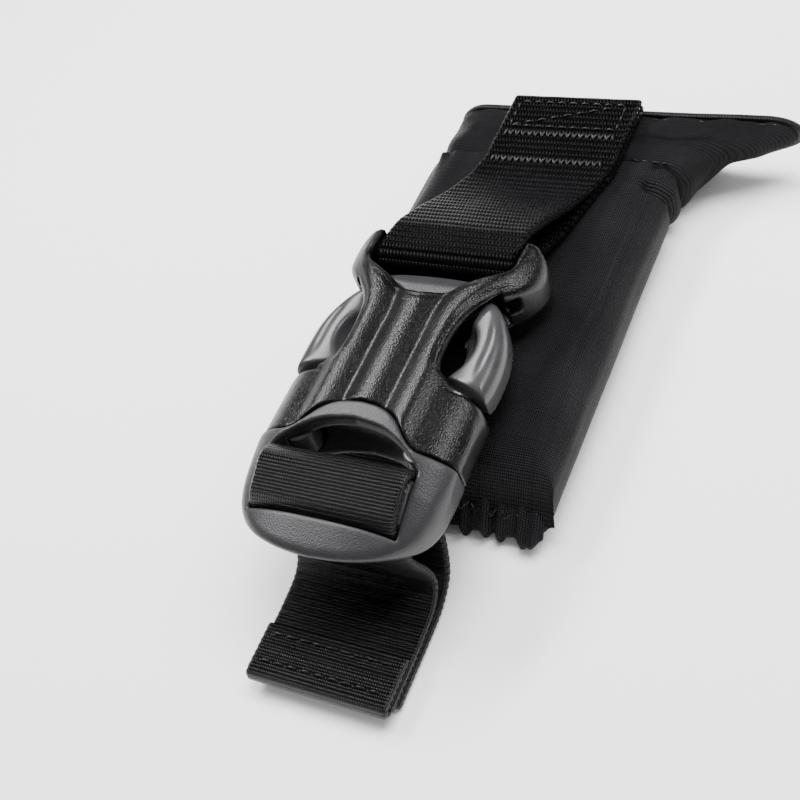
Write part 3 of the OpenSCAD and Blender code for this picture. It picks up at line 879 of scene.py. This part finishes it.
sleeve_rings, sleeve_core = [], []
for y in ring_y:
    x, z = section[:, 0].copy(), section[:, 1].copy()
    top = np.interp(y, SLEEVE_Y, SLEEVE_TOP)
    upper = step_up(z, 2.0, 9.0)
    # the cloth turns down over the foam's edge in a soft fold
    side = step_up(x, PAD_RIGHT - 6, PAD_RIGHT - 1) + step_up(-x, -PAD_LEFT - 6, -PAD_LEFT - 1)
    swell = 0.25 * slack(x, y) * upper + 0.35 * mound(z, 9.4, 1.3) * side
    # a broad hollow where the buckle presses, and a crown beside it
    swell = swell - 0.9 * upper * mound(x, 12, 5) * step_up(-y, -6, 4) + 0.5 * upper * mound(x, 19, 3.2)
    # a long crease runs down beside the right edge
    crease = x - 24.2 - 0.5 * np.sin(0.13 * y)
    swell = swell - 0.35 * upper * mound(crease, 0, 0.7) + 0.25 * upper * mound(crease, -1.5, 0.9)
    # gathers run back from both sewn ends
    gather = np.exp(-(y - SLEEVE_FRONT) / 3.2) + np.exp(-(SLEEVE_BACK - y) / 2.6)
    swell = swell + 0.45 * gather * np.sin(x * 1.55 + 1.3 * np.sin(x * 0.31) + 0.12 * y) * upper
    # the joining seam pinches the right side and pushes a small bulge out behind
    pinch = mound(y, 28.6 + 0.12 * (PAD_RIGHT - x), 0.9) * step_up(x, 17, 25)
    bulge = mound(y, 31 + 0.1 * (PAD_RIGHT - x), 1.5) * step_up(x, 19, 25)
    swell = swell - 1.5 * pinch + 0.9 * bulge
    x, z = x + swell * outward[:, 0], z + swell * outward[:, 1]
    z = np.where(z > top - 1.5, top - 1.5 + 1.5 * np.tanh((z - top + 1.5) / 1.5 * 1.15), z)
    z = np.maximum(z, panel_gap(x))
    sleeve_rings.append(np.stack([x, 0 * x + y, z], -1))
    sleeve_core.append(core_ring(x, y, z, outward))
sleeve = skin("sleeve_cover_cloth", sleeve_rings, girth, ring_y)
THREAD_MM = 0.37
RIPSTOP_MM = 4.8


def ripstop(name, dark, light):
    """Ripstop nylon: a fine plain weave with a heavier thread every few millimetres, as a raised grid. Its
    colour is darker between the fine threads as painted shade, with a random cloudy mottle.
    """
    material, tree, surface = new_material(name)
    u, v = cloth_measure(tree)
    warp = ridge(tree, calc(tree, "DIVIDE", u, THREAD_MM), 0.8)
    weft = ridge(tree, calc(tree, "DIVIDE", v, THREAD_MM), 0.8)
    plain = calc(tree, "MULTIPLY", warp, weft)
    heavy_warp = ridge(tree, calc(tree, "DIVIDE", u, RIPSTOP_MM), 90.0)
    heavy_weft = ridge(tree, calc(tree, "DIVIDE", v, RIPSTOP_MM), 90.0)
    grid = calc(tree, "MAXIMUM", heavy_warp, heavy_weft)
    height = calc(tree, "ADD", plain, calc(tree, "MULTIPLY", grid, 0.45))
    place = add_node(tree, "ShaderNodeTexCoord").outputs["Object"]
    cloud = add_node(tree, "ShaderNodeTexNoise", {"Scale": 1 / (9 * MM), "Detail": 4.0}, Vector=place)
    cloud_mottle = calc(tree, "MULTIPLY", cloud.outputs["Fac"], 0.4)
    # painted shade: the colour follows the fine weave's height, darker in the gaps between threads, plus a
    # random cloudy mottle
    shade = calc(tree, "ADD", calc(tree, "MULTIPLY", plain, 0.6), cloud_mottle)
    colour = add_node(tree, "ShaderNodeValToRGB", None, Fac=shade)
    colour.color_ramp.elements[0].position, colour.color_ramp.elements[0].color = 0.15, linear(dark)
    colour.color_ramp.elements[1].position, colour.color_ramp.elements[1].color = 0.8, linear(light)
    tree.links.new(colour.outputs["Color"], surface.inputs["Base Color"])
    crumple = add_node(tree, "ShaderNodeTexNoise", {"Scale": 1 / (3 * MM), "Detail": 3.0}, Vector=place)
    soft_depth = {"Strength": 0.35, "Distance": 0.25 * MM}
    soft = add_node(tree, "ShaderNodeBump", soft_depth, Height=crumple.outputs["Fac"])
    weave_depth = {"Strength": 1.0, "Distance": 0.24 * MM}
    bump = add_node(tree, "ShaderNodeBump", weave_depth, Height=height, Normal=soft.outputs["Normal"])
    tree.links.new(bump.outputs["Normal"], surface.inputs["Normal"])
    surface.inputs["Roughness"].default_value = 0.42
    surface.inputs["IOR"].default_value = 1.5
    surface.inputs["Specular IOR Level"].default_value = 0.06
    return material


ripstop_nylon = ripstop("black_ripstop_nylon", "#0d0d0e", "#28282a")
dress(sleeve, ripstop_nylon)
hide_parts("sleeve_cover")
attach(sleeve, "belt_end")

# --------------------------------------------------
# Sleeve end hem
# The tube's mouth is turned in, flattened and closed with a zigzag. The
# gathered cloth stands out in small pleats, and its corner makes a point.
# --------------------------------------------------
HEM_BACK = -34.0
HEM_POINTS = 28
hem_x = np.arange(PAD_LEFT + 3, PAD_RIGHT - 1.2, 0.35)
hem_rings = []


def sign_of(value):
    """1 above zero and -1 otherwise."""
    return 1 if value > 0 else -1


for x in hem_x:
    pleat = math.sin(x * 1.7 + 1.1 * math.sin(x * 0.37)) + 0.5 * math.sin(x * 3.1 + 0.7)
    point = math.exp(-((x - PAD_RIGHT + 3.0) / 1.6) ** 2)
    edge = -38.7 - 0.45 * pleat - 1.5 * point + 1.2 * step_up(x, PAD_RIGHT - 2.4, PAD_RIGHT - 1.2)
    middle = 2.0 + 0.35 * math.sin(x * 1.2 + 2) + 0.5 * point
    thick = 1.6 + 0.5 * pleat
    closing = min(1, (x - hem_x[0] + 0.4) / 2, (hem_x[-1] - x + 0.25) / 1.5)
    ring = []
    for k in range(HEM_POINTS):
        a = 2 * math.pi * k / HEM_POINTS
        c, s = math.cos(a), math.sin(a)
        half = (HEM_BACK - edge) / 2
        y = edge + half + half * abs(c) ** 0.7 * sign_of(c)
        # the hem climbs towards the sleeve's mouth
        rise = 2.6 * step_up(y, -38.6, -34.6)
        z = middle + rise + thick * closing * abs(s) ** 0.8 * sign_of(s)
        ring.append((x, y, max(0.05, z)))
    hem_rings.append(ring)
sample = np.array(hem_rings[9] + hem_rings[9][:1])
hem_girth = np.concatenate([[0], np.cumsum(np.linalg.norm(np.diff(sample, axis=0), axis=1))])
hem = skin("sleeve_end_hem_cloth", hem_rings, hem_girth, hem_x)
dress(hem, ripstop_nylon)
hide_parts("sleeve_end_hem")
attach(hem, "belt_end")

ZIGZAGS = 30
zigzag = []
for k in range(ZIGZAGS + 1):
    x = PAD_LEFT + 5 + 38.4 * k / ZIGZAGS
    ripple = 0.3 * math.sin(x * 1.7 + 1.1 * math.sin(x * 0.37))
    y, z = (-35.5, 5.5) if k % 2 else (-36.9, 4.75)
    zigzag.append((x, y, z + ripple))
hem_line = stitches("hem_stitch_zigzag", zigzag, 0.3, 0.42, 0.04)
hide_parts("hem_stitch")
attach(hem_line, "belt_end")
dress(hem_line, thread)

# --------------------------------------------------
# Wing
# Behind the sleeve the belt widens to the right. The same cloth over thinner
# foam, with its free edge lifting off the surface as it curves to the wearer.
# --------------------------------------------------
WING_H = PAD_H - 0.4
WING_LIFT = 6.2
# how far the wing reaches to the right, as [y, x]
WING_EDGE = [
    (33.6, 28.0), (35, 30.4), (37, 31.4), (39, 32.4), (40.2, 34.6),
    (41.2, 38.2), (42.4, 40), (44, 43), (45.6, 45.8), (47.2, 46.4),
]


def lifted(x, z):
    """Heights with the free edge raised off the surface and its top kept level."""
    low = WING_LIFT * step_up(x, PAD_RIGHT - 2, PAD_RIGHT + 8)
    return low + z * (WING_H - low) / WING_H


wing_y = np.arange(SLEEVE_BACK + 0.1, WING_BACK - 0.9, 0.35)
wing_rings, wing_core = [], []
for y in wing_y:
    reach = np.interp(y, [p[0] for p in WING_EDGE], [p[1] for p in WING_EDGE])
    shape, out, wing_girth = stadium(PAD_LEFT + 0.4, reach, WING_H, 168)
    x = shape[:, 0]
    z = lifted(x, shape[:, 1])
    seam = np.exp(-(y - SLEEVE_BACK) / 1.1) + 0.7 * np.exp(-(WING_BACK - 1 - y) / 1.3)
    upper = step_up(z, 3.0, 9.0)
    pucker = 0.3 * seam * np.sin(x * 1.4 + 1.3 * np.sin(x * 0.31))
    swell = 0.3 * slack(x * 1.3 + 20, y * 2.5) - 1.0 * seam + pucker
    # the cloth lies flat where the webbing is sewn over it
    under_web = step_up(x, PAD_LEFT + 6, PAD_LEFT + 8) * (1 - step_up(x, sway(y) + 11, sway(y) + 13))
    swell = np.where(z > 6, np.minimum(swell, 0.1 * (1 - under_web) + swell * (1 - under_web)), swell)
    x, z = x + swell * out[:, 0], np.maximum(z + swell * out[:, 1], panel_gap(x))
    wing_rings.append(np.stack([x, 0 * x + y, z], -1))
    wing_core.append(core_ring(x, y, z, out))
wing = skin("wing_cover_cloth", wing_rings, wing_girth, wing_y)
dress(wing, ripstop_nylon)
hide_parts("wing_cover")
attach(wing, "belt_end")

seam_left = sway(SLEEVE_BACK) + WEB_W / 2 + 0.8
seam_y = SLEEVE_BACK + 0.7
seam_row = row((seam_left, seam_y, WING_H - 0.2), (PAD_RIGHT - 1, seam_y, WING_H - 0.6), 2.2)
join = stitches("joining_stitch_line", seam_row, 0.25, 0.4)
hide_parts("joining_stitch")
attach(join, "belt_end")
dress(join, thread)

# The raw edge at the back of the wing is bound in grosgrain tape, folded over
# it and sewn through.
TAPE_MM = 1.6
tape_y = np.linspace(WING_BACK - TAPE_MM, WING_BACK, 9)
binding_rings = []
for y in tape_y:
    t = (y - WING_BACK + TAPE_MM) / TAPE_MM
    puff = 0.55 * math.sin(math.pi * min(1, 0.12 + t * 0.88)) - 0.25 * t
    shape, out, binding_girth = stadium(PAD_LEFT + 0.6, 46.2, WING_H - 0.4, 150)
    x = shape[:, 0]
    z = lifted(x, shape[:, 1])
    x, z = x + puff * out[:, 0], np.maximum(z + puff * out[:, 1] * 0.8, 0.02)
    binding_rings.append(np.stack([x, 0 * x + y, z], -1))
binding = skin("end_binding_tape", binding_rings, binding_girth, np.linspace(0, TAPE_MM, 9))
grosgrain = nylon_webbing("black_grosgrain_tape", "#030303", "#0c0c0d", 0.9, 0.5, 0.0, 0.08, 0.45, 0.3)
dress(binding, grosgrain)
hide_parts("end_binding")
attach(binding, "belt_end")

edge_left = sway(40) + WEB_W / 2 + 1
edge_y, edge_z = WING_BACK - 2.2, WING_H - 0.7
edge_row = row((edge_left, edge_y, edge_z), (edge_left + 24, edge_y, edge_z), 2.2)
edge_line = stitches("binding_stitch_line", edge_row, 0.25, 0.4)
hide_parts("binding_stitch")
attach(edge_line, "belt_end")
dress(edge_line, thread)

# --------------------------------------------------
# Inside and underside
# Closed-cell foam, which never shows, and the smooth lining panel on which
# the belt lies.
# --------------------------------------------------
foam_material, foam_tree, foam_surface = new_material("grey_closed_cell_foam")
foam_place = add_node(foam_tree, "ShaderNodeTexCoord").outputs["Object"]
cells = add_node(foam_tree, "ShaderNodeTexVoronoi", {"Scale": 1 / (0.5 * MM)}, Vector=foam_place)
cell_depth = {"Strength": 0.5, "Distance": 0.1 * MM}
foam_bump = add_node(foam_tree, "ShaderNodeBump", cell_depth, Height=cells.outputs["Distance"])
foam_tree.links.new(foam_bump.outputs["Normal"], foam_surface.inputs["Normal"])
foam_surface.inputs["Base Color"].default_value = linear("#3c3c3e")
foam_surface.inputs["Roughness"].default_value = 0.9
for name, rings, girths, ys in (
    ("sleeve_foam", sleeve_core[3:-3], girth, ring_y[3:-3]),
    ("wing_foam", wing_core[4:-4], wing_girth, wing_y[4:-4]),
):
    core = skin(name + "_block", rings, girths, ys)
    dress(core, foam_material)
    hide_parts(name)
    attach(core, "belt_end")

panel_left, panel_right = PAD_LEFT + 5, PAD_RIGHT - 5
panel_y = np.linspace(SLEEVE_FRONT, WING_BACK - 1, 90)
panel_rings = []
for y in panel_y:
    shape, out, panel_girth = stadium(panel_left, panel_right, 0.8, 130)
    x, z = shape[:, 0], shape[:, 1]
    # the sewn edge is pressed flat, and the middle keeps a little slack
    inner = step_up(x, panel_left, panel_left + 3) * step_up(-x, -panel_right, -panel_right + 3)
    z = np.where(z < 0.1, z + 0.06 * (1 + slack(x * 2, y * 2)) * inner, z)
    panel_rings.append(np.stack([x, 0 * x + y, z], -1))
panel = skin("back_panel_lining", panel_rings, panel_girth, panel_y)
lining = ripstop("black_lining_taffeta", "#050505", "#101011")
dress(panel, lining)
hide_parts("back_panel")
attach(panel, "belt_end")

# --------------------------------------------------
# Floor and light
# A sheet of white paper in a bright room. A long softbox at the left lights
# the crown, and a small square one at the right lights the other flank.
# --------------------------------------------------
floor_mesh = bpy.data.meshes.new("floor")
floor_mesh.from_pydata([(-4, -4, 0), (4, -4, 0), (4, 4, 0), (-4, 4, 0)], [], [(0, 1, 2, 3)])
floor = bpy.data.objects.new("floor", floor_mesh)
floor.location.z = -0.0001
bpy.context.scene.collection.objects.link(floor)
paper, _, paper_surface = new_material("white_paper")
paper_surface.inputs["Base Color"].default_value = linear("#f4f4f4")
paper_surface.inputs["Roughness"].default_value = 0.9
dress(floor, paper)

world = bpy.data.worlds.new("studio")
world.use_nodes = True
world.node_tree.nodes["Background"].inputs["Color"].default_value = (1, 1, 1, 1)
world.node_tree.nodes["Background"].inputs["Strength"].default_value = 0.72
bpy.context.scene.world = world
# the room lights every surface softly but adds no gloss: only the two shining softboxes do
world.cycles_visibility.glossy = False


def softbox(name, place_mm, size_mm, watts, shines=True):
    """An area lamp aimed at the buckle. With shines off, it lights surfaces but isn't reflected."""
    lamp = bpy.data.lights.new(name, "AREA")
    lamp.shape = "RECTANGLE"
    lamp.size, lamp.size_y = size_mm[0] * MM, size_mm[1] * MM
    lamp.energy = watts
    box = bpy.data.objects.new(name, lamp)
    box.location = Vector(place_mm) * MM
    box.visible_glossy = shines
    box.rotation_euler = (Vector((0, -20, 20)) * MM - box.location).to_track_quat("-Z", "Y").to_euler()
    bpy.context.scene.collection.objects.link(box)


softbox("key_softbox", (-222, 70, 318), (330, 60), 2.3)
softbox("right_softbox", (238, 134, 356), (150, 150), 0.95)
softbox("overhead_fill", (60, 120, 450), (300, 260), 4.3, False)
